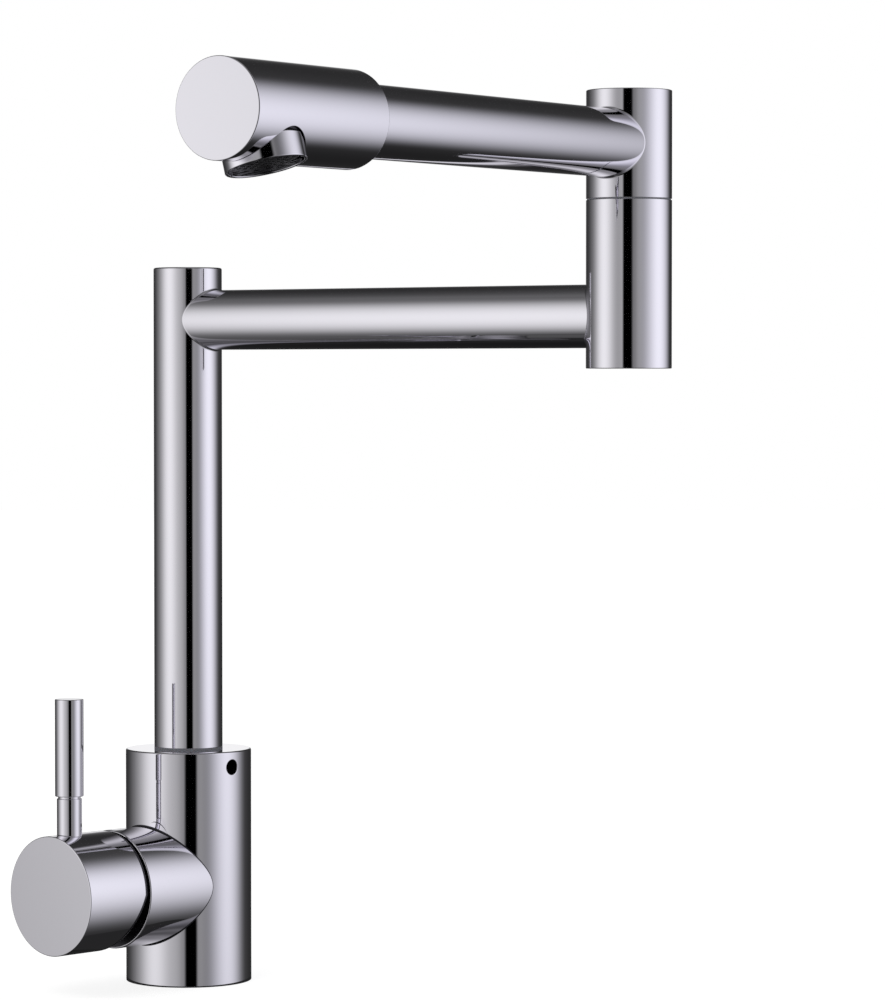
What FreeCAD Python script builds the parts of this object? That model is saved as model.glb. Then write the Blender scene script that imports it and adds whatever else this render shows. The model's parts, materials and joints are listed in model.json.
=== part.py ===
import FreeCAD, Part
import os
from math import cos, pi, radians, sin, sqrt, tan

# Deck-mounted single-lever mixer tap with a two-arm folding spout.
# Millimetres. Z up, origin at the middle of the body's underside on the worktop,
# lever boss towards -X, set screw towards -Y.

# ---------------------------------------------------------------- driving sizes
RUN = 0.05            # radial clearance of a running fit
FREE = 0.3            # clearance between pieces that move past each other
SEAL_GAP = 0.03       # radial clearance left outside an O-ring
EASE = 0.4            # rounding of polished rims
OVER = 1.0            # how far a cutting bar runs past a surface

# body and its bores
BODY_R = 25.75
BODY_TOP = 95.5
BODY_EASE = 0.8
SOCKET_DEPTH = 33.5   # column socket, down from the body's top
BOSS_R = 24.0
BOSS_Z = 41.0         # height of the lever boss's axis
BOSS_RIM = 43.9       # boss face, from the body's axis
BOSS_EASE = 0.6
CHAMBER_FLOOR = 13.0  # cartridge chamber's floor, from the body's axis
INLET_R = 4.5         # M10x1 hose thread at its minor diameter
INLET_DEPTH = 12.0
INLET_Y = 8.0         # hot and cold inlets, each side of the middle
PORT_RISE = 5.5       # inlet ports above the boss axis
PORT_DROP = 7.5       # outlet port below the boss axis
WATER_R = 3.2         # drilled waterways
OUTLET_X = 7.0        # riser to the column, behind the body's axis

# mounting through the worktop
SHANK_R = 16.5
SHANK_BORE_R = 13.0
SHANK_IN_BODY = 10.0
SHANK_BELOW = 58.0    # shank's length below the worktop's top face
WORKTOP_T = 30.0      # worktop clamped in the modelled position
CLAMP_R = 25.0
RUBBER_T = 2.5
WASHER_T = 2.0
NUT_T = 10.0
NUT_FLATS = 46.0
GASKET_R = 21.5       # middle radius of the gasket's groove
GASKET_W = 3.0
GASKET_T = 2.0

# column
COLUMN_R = 14.0
COLUMN_WALL = 1.5
COLUMN_TOP = 292.9
COLUMN_EASE = 0.8
SLIP_RING_T = 0.8
SPIGOT_GRIP = 22.0    # spigot held inside the column tube
SPIGOT_BORE_R = 8.0
SET_SCREW_R = 3.0
SET_SCREW_DROP = 6.4  # set screw's axis below the body's top
SET_SCREW_INSET = 5.7
SET_SCREW_DOG_R = 2.0
SET_SCREW_DOG_REACH = 1.7
KEY_FLATS = 3.0       # hexagon key socket
KEY_DEPTH = 3.5
ORING_T = 2.4
ORING_EASE = 0.6
ORING_PITCH = 7.0
PLUG_T = 4.0

# lower arm and elbow
LOWER_DIR = 277.7     # degrees about Z, from +X
LOWER_DROP = 21.45     # lower arm's axis below the column's top
LOWER_R = 12.2
LOWER_WALL = 1.5
LOWER_REACH = 214.4   # column axis to elbow axis
ELBOW_R = 16.4
ELBOW_FOOT = 20.05     # elbow's bottom below the lower arm's axis
LOWER_POST = 64.1      # lower post's length, up to the seam
UPPER_POST = 41.7      # from the seam to the elbow's top
ELBOW_WALL = 2.4
ELBOW_BEARING_LENGTH = 25.5  # bearing length below the seam
SEAM_T = 0.5
SEAM_EASE = 0.2
SEAM_SET_BACK = 0.4   # slip washer's edge, in from the polished surface
ELBOW_SPIGOT_R = 12.0
ELBOW_SPIGOT_BORE_R = 8.5
ELBOW_SPIGOT_UP = 9.0 # spigot held in the upper post
CLIP_T = 1.5
CLIP_GRIP = 1.4       # clip's depth in its groove
CLIP_STAND = 1.6      # how far a clip stands out of its groove
CLIP_LAND = 1.1       # spigot left below its clip
ELBOW_WASHER_T = 1.9

# upper arm and head
UPPER_DIR = 189.1
UPPER_RISE = 21.1      # upper arm's axis above the seam
UPPER_R = 13.0
UPPER_WALL = 1.5
UPPER_REACH = 262.0   # elbow axis to the head's flat end
HEAD_R = 17.3
HEAD_WALL = 1.5
HEAD_LENGTH = 75.4
HEAD_FACE_T = 2.5
HEAD_RING_T = 4.0
HEAD_SPIGOT_R = 10.0
HEAD_SPIGOT_BORE_R = 6.5
HEAD_SPIGOT_GRIP = 19.0
HEAD_SPIGOT_FLANGE = 1.5
HEAD_SCREW_R = 2.0
HEAD_SCREW_BACK = 4.5 # head screws' axis behind the spigot's end
HEAD_SCREW_REACH = 1.5
HEAD_BEARING_LENGTH = 25.0
HEAD_WATERWAY_R = 8.0
HEAD_CORE_WALL = 3.0
HEAD_CORE_LENGTH = 63.0
TUBE_IN_HEAD = 4.4    # arm tube's end, past the head's rear rim
OUTLET_FROM_FACE = 20.8
OUTLET_TURN = 13.0    # outlet turned about the arm, from straight down
AERATOR_R = 13.5
AERATOR_END = 18.8    # outlet rim, from the arm's axis
AERATOR_SEAT = 9.8
AERATOR_THREAD_R = 10.5
AERATOR_THREAD = 4.0
AERATOR_BORE_R = 8.5
AERATOR_INNER_R = 12.3
AERATOR_SHOULDER = 1.2
AERATOR_WASHER_T = 1.0
AERATOR_RECESS = 1.8
AERATOR_HOLE_GAP = 1.0
JET_R = 0.9
JET_PITCH = 2.6
JET_RINGS = 4

# cartridge
CARTRIDGE_R = 18.0
CARTRIDGE_LENGTH = 25.0
CARTRIDGE_WALL = 2.0
CARTRIDGE_NECK_R = 14.5
CARTRIDGE_NECK = 9.0
CARTRIDGE_BASE_T = 3.5
PORT_SEAL_W = 1.3
PORT_SEAL_T = 1.2
DISC_T = 4.0
MOVING_DISC_T = 3.5
MOVING_DISC_R = 13.0
MIXING_POCKET = (17.0, 11.3, 2.0)   # width, height and depth
MIXING_POCKET_TOP = 1.8
CARRIER_T = 9.0
CARRIER_SLOT_FLOOR = 3.4
GUIDE_R = 12.45
GUIDE_FLANGE_R = 15.6
GUIDE_FLANGE_T = 2.0
GUIDE_PROUD = 2.0
GUIDE_SLOT = (7.0, 9.5)             # below and above the boss axis
STEM_W = 8.0
STEM_H = 7.0
STEM_WAIST = 4.4
STEM_TIP_R = 3.2
STEM_TIP_REACH = 13.9               # pivot pin to the stem's tip
STEM_END = 19.6                     # pivot pin to the stem's outer end
PIN_R = 2.0
PIN_LENGTH = 22.0
COLLAR_NUT_R = 20.0
COLLAR_CLEARANCE = 3.5  # collar to the cap's inside
COLLAR_PROUD = 4.1

# handle
RIM_GAP = 1.0         # boss face to the cap's rear rim
CAP_FACE = 76.35      # cap's flat face, from the body's axis
CAP_R = BOSS_R        # cap flush with the boss
CAP_WALL = 3.0
CAP_FACE_T = 5.0
LIFT = 20.0           # lever lift, and the slope of the cap's relieved rim
HUB_R = 8.5
HUB_LENGTH = 17.35
LEVER_BACK = 10.35    # lever's axis behind the cap's face
LEVER_TOP = 119.4
LEVER_JOINT = 79.2
LEVER_GAP = 1.2
LEVER_R = 5.7
NECK_R = 5.0
STUD_R = 3.0
STUD_IN_CAP = 13.5
STUD_IN_LEVER = 8.0
GRUB_R = 2.5
GRUB_BACK = 14.85     # grub screw's axis behind the cap's face
GRUB_LENGTH = 14.0
GRUB_KEY_FLATS = 2.5

# ---------------------------------------------------------------- places
V = FreeCAD.Vector
X = V(1, 0, 0)
Y = V(0, 1, 0)
Z = V(0, 0, 1)


def heading(degrees):
    """Unit vector at this angle about Z."""
    return V(cos(radians(degrees)), sin(radians(degrees)), 0)


def point(line, s):
    """The point at distance s along a line."""
    origin, direction = line
    return origin + direction * s


LOWER_Z = COLUMN_TOP - LOWER_DROP
ELBOW_BOTTOM = LOWER_Z - ELBOW_FOOT
ELBOW_SEAM = ELBOW_BOTTOM + LOWER_POST
ELBOW_TOP = ELBOW_SEAM + UPPER_POST
UPPER_Z = ELBOW_SEAM + UPPER_RISE

COLUMN = (V(0, 0, 0), Z)
BOSS = (V(0, 0, BOSS_Z), -X)
LOWER = (V(0, 0, LOWER_Z), heading(LOWER_DIR))
ELBOW = (heading(LOWER_DIR) * LOWER_REACH, Z)
UPPER = (ELBOW[0] + Z * UPPER_Z, heading(UPPER_DIR))
OUTLET_S = UPPER_REACH - OUTLET_FROM_FACE
OUTLET_AXIS = (-Z * cos(radians(OUTLET_TURN))
               + heading(UPPER_DIR + 90) * sin(radians(OUTLET_TURN)))
OUTLET = (point(UPPER, OUTLET_S), OUTLET_AXIS)
SET_SCREW = (V(0, 0, BODY_TOP - SET_SCREW_DROP), -Y)

SOCKET_FLOOR = BODY_TOP - SOCKET_DEPTH
COLUMN_FOOT = BODY_TOP + SLIP_RING_T
SPIGOT_R = COLUMN_R - COLUMN_WALL
SOCKET_R = SPIGOT_R + RUN
SPIGOT_FOOT = SOCKET_FLOOR + FREE
DOG_TIP = SPIGOT_R - SET_SCREW_DOG_REACH

LOWER_BORE_R = LOWER_R - LOWER_WALL
UPPER_BORE_R = UPPER_R - UPPER_WALL
ELBOW_CHAMBER_R = ELBOW_R - ELBOW_WALL
BEARING_FOOT = ELBOW_SEAM - ELBOW_BEARING_LENGTH
UPPER_POST_FOOT = ELBOW_SEAM + SEAM_T
SPIGOT_HEAD = UPPER_POST_FOOT + ELBOW_SPIGOT_UP
CLIP_TOP = BEARING_FOOT - ELBOW_WASHER_T
ELBOW_SPIGOT_FOOT = CLIP_TOP - CLIP_T - CLIP_LAND

HEAD_REAR = UPPER_REACH - HEAD_LENGTH
HEAD_BORE_R = HEAD_R - HEAD_WALL
TUBE_END = HEAD_REAR + TUBE_IN_HEAD
CORE_REAR = TUBE_END + HEAD_SPIGOT_FLANGE + FREE
CORE_SHOULDER = CORE_REAR + HEAD_BEARING_LENGTH
CORE_END = CORE_REAR + HEAD_CORE_LENGTH
HEAD_SPIGOT_END = CORE_SHOULDER - FREE
HEAD_SCREW_S = HEAD_SPIGOT_END - HEAD_SCREW_BACK
SKIRT_TOP = AERATOR_SEAT + AERATOR_WASHER_T
INSERT_TOP = SKIRT_TOP + AERATOR_SHOULDER

BASE_TOP = CHAMBER_FLOOR + CARTRIDGE_BASE_T
FIXED_TOP = BASE_TOP + DISC_T
MOVING_TOP = FIXED_TOP + MOVING_DISC_T
CARRIER_TOP = MOVING_TOP + CARRIER_T
CARTRIDGE_SHOULDER = CHAMBER_FLOOR + CARTRIDGE_LENGTH
CARTRIDGE_TOP = CARTRIDGE_SHOULDER + CARTRIDGE_NECK
COLLAR_R = CAP_R - CAP_WALL - COLLAR_CLEARANCE
CAVITY_R = CARTRIDGE_R - CARTRIDGE_WALL
CAVITY_TOP = CARTRIDGE_SHOULDER - CARTRIDGE_WALL + FREE
PIVOT = BOSS_RIM + RIM_GAP
DISC_TRAVEL = STEM_TIP_REACH * sin(radians(LIFT))
DISC_OFFSET = -DISC_TRAVEL / 2
LEVER_S = CAP_FACE - LEVER_BACK
GRUB_S = CAP_FACE - GRUB_BACK


# ---------------------------------------------------------------- shapes
def rod(line, r, a, b):
    """Solid round bar along a line, from distance a to distance b."""
    return Part.makeCylinder(r, b - a, point(line, a), line[1])


def pipe(line, r_out, r_in, a, b):
    """Round tube along a line."""
    return rod(line, r_out, a, b).cut(rod(line, r_in, a, b))


def o_ring(line, r_bottom, r_out, middle):
    """O-ring squeezed between a groove's bottom and r_out, with rounded shoulders."""
    ring = pipe(line, r_out, r_bottom, middle - ORING_T / 2, middle + ORING_T / 2)
    for side in (-1, 1):
        ring = ease(ring, line, r_out, middle + side * ORING_T / 2, ORING_EASE)
    return ring


def groove(line, r_out, r_bottom, middle, width):
    """Ring of metal that a turned groove takes away."""
    return pipe(line, r_out + OVER, r_bottom, middle - width / 2, middle + width / 2)


def ease(shape, line, r, s, size):
    """Round the rim of radius r that lies at distance s along a line."""
    centre = point(line, s)
    rims = [e for e in shape.Edges
            if isinstance(e.Curve, Part.Circle)
            and abs(e.Curve.Radius - r) < 1e-5
            and e.Curve.Center.distanceToPoint(centre) < 1e-5]
    return shape.makeFillet(size, rims)


def hexagon(line, flats, a, b):
    """Hexagonal bar along a line, flats being its width across them."""
    centre, direction = point(line, a), line[1]
    across = Y if abs(direction.dot(Y)) < 0.5 else X
    corner = across * (flats / sqrt(3))
    turn = [FreeCAD.Rotation(direction, 60 * i) for i in range(7)]
    outline = Part.makePolygon([centre + t.multVec(corner) for t in turn])
    return Part.Face(outline).extrude(direction * (b - a))


def boss_box(s0, s1, half_width, low, high):
    """Block in the boss: s from the body's axis, low and high from the boss axis."""
    return Part.makeBox(s1 - s0, 2 * half_width, high - low,
                        V(-s1, -half_width, BOSS_Z + low))


def boss_side(y, rise):
    """Line parallel to the boss axis, to one side of it."""
    return (V(0, y, BOSS_Z + rise), -X)


def upright(x, y):
    """Vertical line."""
    return (V(x, y, 0), Z)


def joined(*shapes):
    """One solid out of several that overlap."""
    whole = shapes[0].fuse(list(shapes[1:]))
    return whole.removeSplitter()


def ports():
    """The three lines of the cartridge's ports: hot, cold, outlet."""
    inlets = [boss_side(y, PORT_RISE) for y in (-INLET_Y, INLET_Y)]
    return inlets + [boss_side(0, -PORT_DROP)]


def port_holes(a, b):
    """Drillings of the three ports between two distances from the body's axis."""
    return [rod(line, WATER_R, a, b) for line in ports()]


# ---------------------------------------------------------------- body and mounting
def body_waterways():
    """Hot and cold from the inlets to the chamber floor, and the mixed riser."""
    top = SHANK_IN_BODY + INLET_DEPTH
    cuts = []
    for y in (-INLET_Y, INLET_Y):
        cuts.append(rod(upright(0, y), INLET_R, 0, top))
        cuts.append(rod(upright(0, y), WATER_R, 0, BOSS_Z + PORT_RISE))
        cuts.append(rod(boss_side(y, PORT_RISE), WATER_R, 0, CHAMBER_FLOOR + OVER))
    mixed = boss_side(0, -PORT_DROP)
    cuts.append(rod(mixed, WATER_R, -OUTLET_X, CHAMBER_FLOOR + OVER))
    cuts.append(rod(upright(OUTLET_X, 0), WATER_R, BOSS_Z - PORT_DROP, SOCKET_FLOOR + OVER))
    return cuts


def valve_body():
    """Turned body with the column's socket, the chamber's floor and the waterways."""
    body = ease(rod(COLUMN, BODY_R, 0, BODY_TOP), COLUMN, BODY_R, BODY_TOP, BODY_EASE)
    cuts = [
        rod(COLUMN, SOCKET_R, SOCKET_FLOOR, BODY_TOP + OVER),
        rod(SET_SCREW, SET_SCREW_R, 0, BODY_R + OVER),
        rod(BOSS, CARTRIDGE_R, CHAMBER_FLOOR, BODY_R + OVER),
        rod(COLUMN, SHANK_R, -OVER, SHANK_IN_BODY),
        pipe(COLUMN, GASKET_R + GASKET_W / 2, GASKET_R - GASKET_W / 2, -OVER, GASKET_T),
    ]
    return body.cut(cuts + body_waterways())


def lever_boss():
    """Boss brazed to the body's side, bored for the cartridge and its nut."""
    boss = ease(rod(BOSS, BOSS_R, 0, BOSS_RIM), BOSS, BOSS_R, BOSS_RIM, BOSS_EASE)
    cuts = [
        rod(COLUMN, BODY_R, 0, BODY_TOP),
        rod(BOSS, CARTRIDGE_R, 0, BOSS_RIM + OVER),
        rod(BOSS, COLLAR_NUT_R, CARTRIDGE_SHOULDER - OVER, BOSS_RIM + OVER),
    ]
    return boss.cut(cuts)


def base_gasket():
    return pipe(COLUMN, GASKET_R + GASKET_W / 2, GASKET_R - GASKET_W / 2, 0, GASKET_T)


def mounting_shank():
    """Threaded shank, modelled plain, with its lower end chamfered."""
    shank = pipe(COLUMN, SHANK_R, SHANK_BORE_R, -SHANK_BELOW, SHANK_IN_BODY)
    return ease(shank, COLUMN, SHANK_R, -SHANK_BELOW, EASE)


def clamp_rubber():
    return pipe(COLUMN, CLAMP_R, SHANK_R, -WORKTOP_T - RUBBER_T, -WORKTOP_T)


def clamp_washer():
    top = -WORKTOP_T - RUBBER_T
    return pipe(COLUMN, CLAMP_R, SHANK_R, top - WASHER_T, top)


def lock_nut():
    top = -WORKTOP_T - RUBBER_T - WASHER_T
    nut = hexagon(COLUMN, NUT_FLATS, top - NUT_T, top)
    return nut.cut(rod(COLUMN, SHANK_R, top - NUT_T, top))


def column_set_screw():
    """Dog-point screw: its dog runs in the spigot's groove and keeps the column in."""
    head = BODY_R - SET_SCREW_INSET
    screw = rod(SET_SCREW, SET_SCREW_R, SOCKET_R + FREE, head)
    dog = rod(SET_SCREW, SET_SCREW_DOG_R, DOG_TIP + FREE, head - KEY_DEPTH)
    return joined(screw, dog).cut(hexagon(SET_SCREW, KEY_FLATS, head - KEY_DEPTH, head))


# ---------------------------------------------------------------- cartridge
def cartridge_base():
    """Foot of the cartridge, with its three ports and the recesses of their seals."""
    foot = rod(BOSS, CARTRIDGE_R, CHAMBER_FLOOR, BASE_TOP)
    recesses = [rod(line, WATER_R + PORT_SEAL_W, CHAMBER_FLOOR, CHAMBER_FLOOR + PORT_SEAL_T)
                for line in ports()]
    return foot.cut(port_holes(CHAMBER_FLOOR, BASE_TOP) + recesses)


def port_seals():
    """Three seals between the cartridge's foot and the chamber floor."""
    return Part.makeCompound([
        pipe(line, WATER_R + PORT_SEAL_W, WATER_R, CHAMBER_FLOOR, CHAMBER_FLOOR + PORT_SEAL_T)
        for line in ports()])


def cartridge_housing():
    """Moulded housing: a cup over the discs, and a neck for the turning guide."""
    cup = rod(BOSS, CARTRIDGE_R, BASE_TOP, CARTRIDGE_SHOULDER)
    neck = rod(BOSS, CARTRIDGE_NECK_R, CARTRIDGE_SHOULDER - OVER, CARTRIDGE_TOP)
    cavity = rod(BOSS, CAVITY_R, BASE_TOP, CAVITY_TOP)
    bore = rod(BOSS, GUIDE_R + RUN, BASE_TOP, CARTRIDGE_TOP)
    return joined(cup, neck).cut([cavity, bore])


def fixed_disc():
    disc = rod(BOSS, CAVITY_R, BASE_TOP, FIXED_TOP)
    return disc.cut(port_holes(BASE_TOP, FIXED_TOP))


def moving_disc():
    """Sliding disc with its mixing pocket, in the closed position."""
    width, height, depth = MIXING_POCKET
    disc = rod(boss_side(0, DISC_OFFSET), MOVING_DISC_R, FIXED_TOP, MOVING_TOP)
    pocket = boss_box(FIXED_TOP, FIXED_TOP + depth, width / 2,
                      MIXING_POCKET_TOP - height, MIXING_POCKET_TOP)
    return disc.cut(pocket)


def disc_carrier():
    """Carrier on the moving disc, with the slot that the stem's tip drives."""
    carrier = rod(boss_side(0, DISC_OFFSET), MOVING_DISC_R, MOVING_TOP, CARRIER_TOP)
    reach = STEM_TIP_R + FREE
    slot = boss_box(MOVING_TOP + CARRIER_SLOT_FLOOR, CARRIER_TOP + OVER,
                    STEM_W / 2 + FREE, -reach, reach)
    return carrier.cut(slot)


def turning_guide():
    """Guide that turns in the housing's neck and carries the pivot pin."""
    low, high = GUIDE_SLOT
    flange_top = CAVITY_TOP - FREE
    top = CARTRIDGE_TOP + GUIDE_PROUD
    flange = rod(BOSS, GUIDE_FLANGE_R, flange_top - GUIDE_FLANGE_T, flange_top)
    barrel = rod(BOSS, GUIDE_R, flange_top - GUIDE_FLANGE_T, top)
    slot = boss_box(0, top + OVER, STEM_W / 2 + FREE, -low, high)
    return joined(flange, barrel).cut([slot, pivot_rod(PIN_R, PIN_LENGTH)])


def pivot_rod(r, length):
    """Bar across the boss axis at the lever's pivot."""
    return Part.makeCylinder(r, length, V(-PIVOT, -length / 2, BOSS_Z), Y)


def pivot_pin():
    return pivot_rod(PIN_R, PIN_LENGTH)


def collar_nut():
    """Brass ring nut that holds the cartridge, with its collar inside the cap."""
    thread = rod(BOSS, COLLAR_NUT_R, CARTRIDGE_SHOULDER, BOSS_RIM - FREE)
    collar = rod(BOSS, COLLAR_R, CARTRIDGE_SHOULDER, BOSS_RIM + COLLAR_PROUD)
    return joined(thread, collar).cut(
        rod(BOSS, CARTRIDGE_NECK_R, CARTRIDGE_SHOULDER, BOSS_RIM + COLLAR_PROUD))


# ---------------------------------------------------------------- handle
def lever_stem():
    """Square stem through the pivot pin, with a waist and a round tip inside."""
    tip_s = PIVOT - STEM_TIP_REACH
    shoulder = tip_s + STEM_TIP_R + STEM_WAIST / 2
    bar = boss_box(shoulder, PIVOT + STEM_END, STEM_W / 2, -STEM_H / 2, STEM_H / 2)
    waist = boss_box(tip_s, shoulder, STEM_W / 2, -STEM_WAIST / 2, STEM_WAIST / 2)
    tip = Part.makeCylinder(STEM_TIP_R, STEM_W, V(-tip_s, -STEM_W / 2, BOSS_Z), Y)
    return joined(bar, waist, tip).cut(pivot_rod(PIN_R + RUN, STEM_W))


def lever_line(s):
    """Vertical line through the boss axis at distance s from the body's axis."""
    return (point(BOSS, s), Z)


def relief():
    """Wedge below the boss axis that lets the cap tilt up by its full lift."""
    drop = 2 * CAP_R
    corner = V(-PIVOT, -CAP_R, BOSS_Z)
    down = corner - Z * drop
    out = down - X * (drop * tan(radians(LIFT)))
    wedge = Part.Face(Part.makePolygon([corner, down, out, corner]))
    return wedge.extrude(Y * (2 * CAP_R))


def handle_cap():
    """Cast cap: a thin shell, a hub for the stem, and posts for stud and screw."""
    shell = ease(rod(BOSS, CAP_R, PIVOT, CAP_FACE), BOSS, CAP_R, CAP_FACE, EASE)
    hub_foot = CAP_FACE - CAP_FACE_T - HUB_LENGTH
    shell = shell.cut(rod(BOSS, CAP_R - CAP_WALL, PIVOT, CAP_FACE - CAP_FACE_T))
    hub = rod(BOSS, HUB_R, hub_foot, CAP_FACE - OVER)
    reach = CAP_R - CAP_WALL / 2
    stud_post = rod(lever_line(LEVER_S), STUD_R + CAP_WALL, 0, reach)
    grub_post = rod(lever_line(GRUB_S), GRUB_R + CAP_WALL, -reach, 0)
    stem_hole = boss_box(PIVOT, PIVOT + STEM_END + FREE, STEM_W / 2,
                         -STEM_H / 2, STEM_H / 2)
    cuts = [
        relief(),
        stem_hole,
        rod(lever_line(LEVER_S), STUD_R, CAP_R - STUD_IN_CAP, CAP_R + OVER),
        rod(lever_line(GRUB_S), GRUB_R, -CAP_R - OVER, 0),
    ]
    return joined(shell, hub, stud_post, grub_post).cut(cuts)


def grub_screw():
    """Screw from below that holds the cap on the stem."""
    line = (point(BOSS, GRUB_S), -Z)
    start, end = STEM_H / 2, STEM_H / 2 + GRUB_LENGTH
    key = hexagon(line, GRUB_KEY_FLATS, end - KEY_DEPTH, end)
    return rod(line, GRUB_R, start, end).cut(key)


def lever_neck():
    """Lower length of the lever, seated on the cap's round side."""
    line = upright(-LEVER_S, 0)
    neck = rod(line, NECK_R, BOSS_Z, LEVER_JOINT)
    waist = rod(line, NECK_R - LEVER_GAP / 2, BOSS_Z, LEVER_JOINT + LEVER_GAP)
    neck = ease(neck, line, NECK_R, LEVER_JOINT, EASE)
    bore = rod(line, STUD_R, BOSS_Z, LEVER_JOINT + LEVER_GAP)
    return joined(neck, waist).cut([rod(BOSS, CAP_R, PIVOT, CAP_FACE), bore])


def lever_grip():
    line = upright(-LEVER_S, 0)
    foot = LEVER_JOINT + LEVER_GAP
    grip = rod(line, LEVER_R, foot, LEVER_TOP)
    grip = ease(grip, line, LEVER_R, LEVER_TOP, EASE)
    grip = ease(grip, line, LEVER_R, foot, EASE)
    return grip.cut(rod(line, STUD_R, foot, foot + STUD_IN_LEVER))


def lever_stud():
    line = upright(-LEVER_S, 0)
    foot = BOSS_Z + CAP_R - STUD_IN_CAP
    return rod(line, STUD_R, foot, LEVER_JOINT + LEVER_GAP + STUD_IN_LEVER)


# ---------------------------------------------------------------- column and lower arm
def column_seal_heights():
    """Middles of the two O-rings on the column's spigot."""
    low = SPIGOT_FOOT + ORING_PITCH
    return [low, low + ORING_PITCH]


def column_tube():
    tube = rod(COLUMN, COLUMN_R, COLUMN_FOOT, COLUMN_TOP)
    tube = ease(tube, COLUMN, COLUMN_R, COLUMN_TOP, COLUMN_EASE)
    bore = rod(COLUMN, SPIGOT_R, COLUMN_FOOT, COLUMN_TOP)
    return tube.cut([bore, rod(LOWER, LOWER_BORE_R, 0, COLUMN_R + OVER)])


def column_plug():
    return rod(COLUMN, SPIGOT_R, COLUMN_TOP - PLUG_T, COLUMN_TOP)


def column_spigot():
    """Brass spigot brazed in the tube, turning in the body's socket."""
    top = COLUMN_FOOT + SPIGOT_GRIP
    spigot = pipe(COLUMN, SPIGOT_R, SPIGOT_BORE_R, SPIGOT_FOOT, top)
    width = 2 * (SET_SCREW_DOG_R + FREE)
    cuts = [groove(COLUMN, SPIGOT_R, DOG_TIP, BODY_TOP - SET_SCREW_DROP, width)]
    for height in column_seal_heights():
        cuts.append(groove(COLUMN, SPIGOT_R, SPIGOT_R - ORING_T, height, ORING_T))
    return spigot.cut(cuts)


def column_o_rings():
    return Part.makeCompound([
        o_ring(COLUMN, SPIGOT_R - ORING_T, SOCKET_R - SEAL_GAP, height)
        for height in column_seal_heights()])


def column_slip_ring():
    return pipe(COLUMN, COLUMN_R, SPIGOT_R + RUN, BODY_TOP, COLUMN_FOOT)


def lower_arm():
    """Tube from column to elbow, its ends cut to sit on both."""
    tube = pipe(LOWER, LOWER_R, LOWER_BORE_R, 0, LOWER_REACH)
    column = rod(COLUMN, COLUMN_R, 0, COLUMN_TOP)
    elbow = rod(ELBOW, ELBOW_R, ELBOW_BOTTOM, ELBOW_SEAM)
    return tube.cut([column, elbow])


def elbow_post():
    """Lower half of the elbow: water chamber below, bearing above."""
    post = rod(ELBOW, ELBOW_R, ELBOW_BOTTOM, ELBOW_SEAM)
    post = ease(post, ELBOW, ELBOW_R, ELBOW_BOTTOM, EASE)
    post = ease(post, ELBOW, ELBOW_R, ELBOW_SEAM, SEAM_EASE)
    cuts = [
        rod(ELBOW, ELBOW_CHAMBER_R, ELBOW_BOTTOM, BEARING_FOOT),
        rod(ELBOW, ELBOW_SPIGOT_R + RUN, BEARING_FOOT, ELBOW_SEAM),
        rod(LOWER, LOWER_BORE_R, LOWER_REACH - ELBOW_R - OVER, LOWER_REACH),
    ]
    return post.cut(cuts)


def elbow_plug():
    return rod(ELBOW, ELBOW_CHAMBER_R, ELBOW_BOTTOM, ELBOW_BOTTOM + PLUG_T)


# ---------------------------------------------------------------- spout
def elbow_seal_heights():
    """Middles of the two O-rings on the elbow's spigot."""
    low = BEARING_FOOT + ORING_PITCH
    return [low, low + ORING_PITCH]


def elbow_spigot():
    """Brass spigot brazed in the upper post, turning in the elbow's bearing."""
    spigot = pipe(ELBOW, ELBOW_SPIGOT_R, ELBOW_SPIGOT_BORE_R, ELBOW_SPIGOT_FOOT, SPIGOT_HEAD)
    cuts = [groove(ELBOW, ELBOW_SPIGOT_R, ELBOW_SPIGOT_R - CLIP_GRIP, CLIP_TOP - CLIP_T / 2, CLIP_T)]
    for height in elbow_seal_heights():
        cuts.append(groove(ELBOW, ELBOW_SPIGOT_R, ELBOW_SPIGOT_R - ORING_T, height, ORING_T))
    return spigot.cut(cuts)


def elbow_o_rings():
    return Part.makeCompound([
        o_ring(ELBOW, ELBOW_SPIGOT_R - ORING_T, ELBOW_SPIGOT_R + RUN - SEAL_GAP, height)
        for height in elbow_seal_heights()])


def elbow_washer():
    """Slip washer under the bearing, held up by the clip."""
    return pipe(ELBOW, ELBOW_SPIGOT_R + CLIP_STAND, ELBOW_SPIGOT_R + RUN, CLIP_TOP, BEARING_FOOT)


def elbow_clip():
    """Split retaining ring sprung into the spigot's groove."""
    outer, inner = ELBOW_SPIGOT_R + CLIP_STAND, ELBOW_SPIGOT_R - CLIP_GRIP
    ring = pipe(ELBOW, outer, inner, CLIP_TOP - CLIP_T, CLIP_TOP)
    middle = point(ELBOW, CLIP_TOP - CLIP_T / 2)
    return ring.cut(Part.makeCylinder(CLIP_T, outer + OVER, middle, X))


def seam_washer():
    """Slip washer in the elbow's seam, set back from the polished surface."""
    return pipe(ELBOW, ELBOW_R - SEAM_SET_BACK, ELBOW_SPIGOT_R + RUN, ELBOW_SEAM, UPPER_POST_FOOT)


def upper_post():
    """Upper half of the elbow, with the seat of the spigot and the water chamber."""
    post = rod(ELBOW, ELBOW_R, UPPER_POST_FOOT, ELBOW_TOP)
    post = ease(post, ELBOW, ELBOW_R, ELBOW_TOP, EASE)
    post = ease(post, ELBOW, ELBOW_R, UPPER_POST_FOOT, SEAM_EASE)
    cuts = [
        rod(ELBOW, ELBOW_SPIGOT_R, UPPER_POST_FOOT, SPIGOT_HEAD),
        rod(ELBOW, ELBOW_CHAMBER_R, SPIGOT_HEAD, ELBOW_TOP),
        rod(UPPER, UPPER_BORE_R, 0, ELBOW_R + OVER),
    ]
    return post.cut(cuts)


def upper_plug():
    return rod(ELBOW, ELBOW_CHAMBER_R, ELBOW_TOP - PLUG_T, ELBOW_TOP)


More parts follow.
